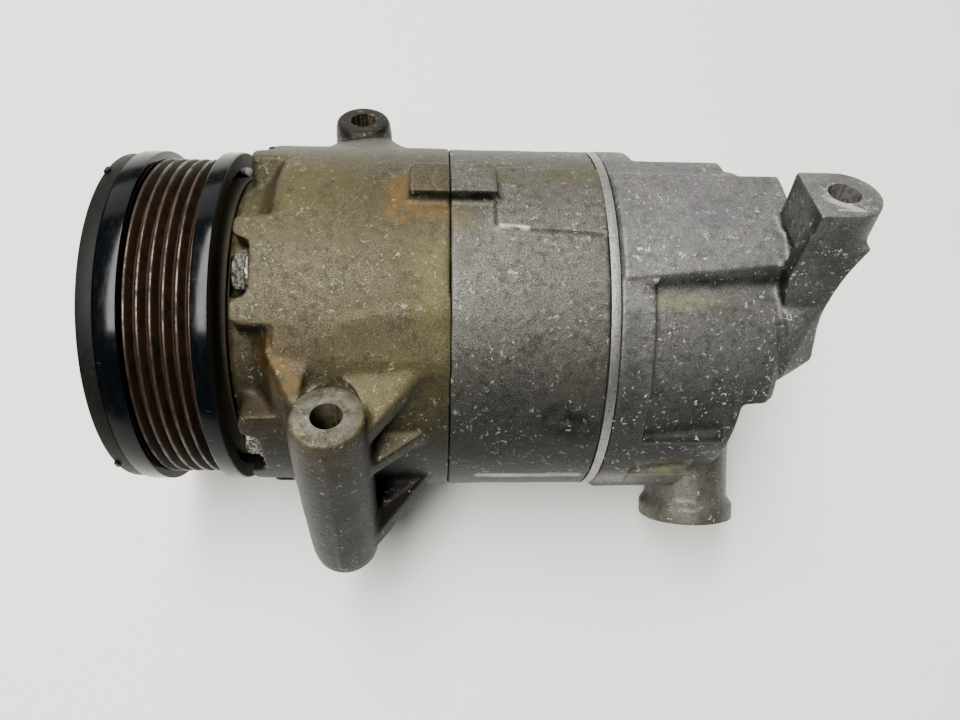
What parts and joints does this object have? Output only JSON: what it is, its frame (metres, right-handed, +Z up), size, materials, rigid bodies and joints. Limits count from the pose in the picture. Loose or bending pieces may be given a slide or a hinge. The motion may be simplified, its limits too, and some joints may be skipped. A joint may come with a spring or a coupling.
{
  "type": "automotive air-conditioning compressor",
  "caption": "Swash-plate air-conditioning compressor with a magnetic clutch and grooved belt pulley, two long side mounting bosses, a rear mounting lug and a refrigerant port pad.",
  "frame": {"origin": "middle of the hub bolt's front face, on the shaft axis", "axes": "+X along the shaft from the clutch to the rear head, +Z up with the compressor lying on its barrel, +Y towards the refrigerant port pad"},
  "size_m": [0.2191, 0.1656, 0.1356],
  "materials": {
    "front_cast": "rough die-cast, oil stained",
    "block_cast": "satin cast",
    "head_cast": "rough die-cast with white oxide flecks",
    "bright_steel": "machined",
    "dark_steel": "dark phosphated steel",
    "black_paint": "gloss black paint on steel, rust in the grooves",
    "spring_steel": "rolled spring steel",
    "winding": "varnished copper winding",
    "seal_rubber": "moulded rubber",
    "connector_plastic": "moulded plastic",
    "piston_alloy": "machined aluminium alloy"
  },
  "bodies": {
    "housing": {"bearing_inner_race": "bright_steel", "bearing_snap_ring": "spring_steel", "coil_housing": "dark_steel", "coil_winding": "winding", "coil_snap_ring": "spring_steel", "coil_connector": "connector_plastic", "front_housing": "front_cast", "front_o_ring": "seal_rubber", "cylinder_block": "block_cast", "suction_reed": "spring_steel", "valve_plate": "bright_steel", "discharge_reed": "spring_steel", "rear_o_ring": "seal_rubber", "rear_head": "head_cast", "control_valve": "bright_steel", "control_valve_ring": "spring_steel", "relief_valve": "bright_steel", "shaft_seal": "seal_rubber", "seal_snap_ring": "spring_steel", "front_bearing": "bright_steel", "thrust_bearing": "bright_steel", "rear_bearing": "bright_steel", "case_bolt_1": "bright_steel", "piston_1": "piston_alloy", "front_shoe_1": "bright_steel", "rear_shoe_1": "bright_steel", "case_bolt_2": "bright_steel", "piston_2": "piston_alloy", "front_shoe_2": "bright_steel", "rear_shoe_2": "bright_steel", "case_bolt_3": "bright_steel", "piston_3": "piston_alloy", "front_shoe_3": "bright_steel", "rear_shoe_3": "bright_steel", "case_bolt_4": "bright_steel", "piston_4": "piston_alloy", "front_shoe_4": "bright_steel", "rear_shoe_4": "bright_steel", "case_bolt_5": "bright_steel", "piston_5": "piston_alloy", "front_shoe_5": "bright_steel", "rear_shoe_5": "bright_steel", "case_bolt_6": "bright_steel", "piston_6": "piston_alloy", "front_shoe_6": "bright_steel", "rear_shoe_6": "bright_steel"},
    "pulley_body": {"pulley": "black_paint", "bearing_outer_race": "bright_steel"},
    "bearing_cage": {"bearing_balls": "spring_steel"},
    "shaft_body": {"shaft": "bright_steel", "hub_bolt": "bright_steel", "clutch_hub": "dark_steel", "leaf_spring_1": "spring_steel", "leaf_spring_2": "spring_steel", "leaf_spring_3": "spring_steel", "lug_plate": "dark_steel", "hinge_pin": "bright_steel", "return_spring": "spring_steel", "swash_plate": "piston_alloy"},
    "armature": {"armature_plate": "dark_steel"}
  },
  "joints": [
    {"name": "pulley_spin", "type": "hinge", "parent": "housing", "child": "pulley_body", "pos_m": [0.022, 0, 0], "axis": [1, 0, 0], "continuous": true},
    {"name": "cage_spin", "type": "hinge", "parent": "housing", "child": "bearing_cage", "pos_m": [0.022, 0, 0], "axis": [1, 0, 0], "continuous": true},
    {"name": "shaft_spin", "type": "hinge", "parent": "housing", "child": "shaft_body", "pos_m": [0.08, 0, 0], "axis": [1, 0, 0], "continuous": true},
    {"name": "armature_pull", "type": "slide", "parent": "shaft_body", "child": "armature", "axis": [1, 0, 0], "range_m": [0, 0.0004], "stiffness_N_per_m": 40000}
  ],
  "couplings": [
    {"joint": "cage_spin", "follows": "pulley_spin", "ratio": 0.55}
  ]
}
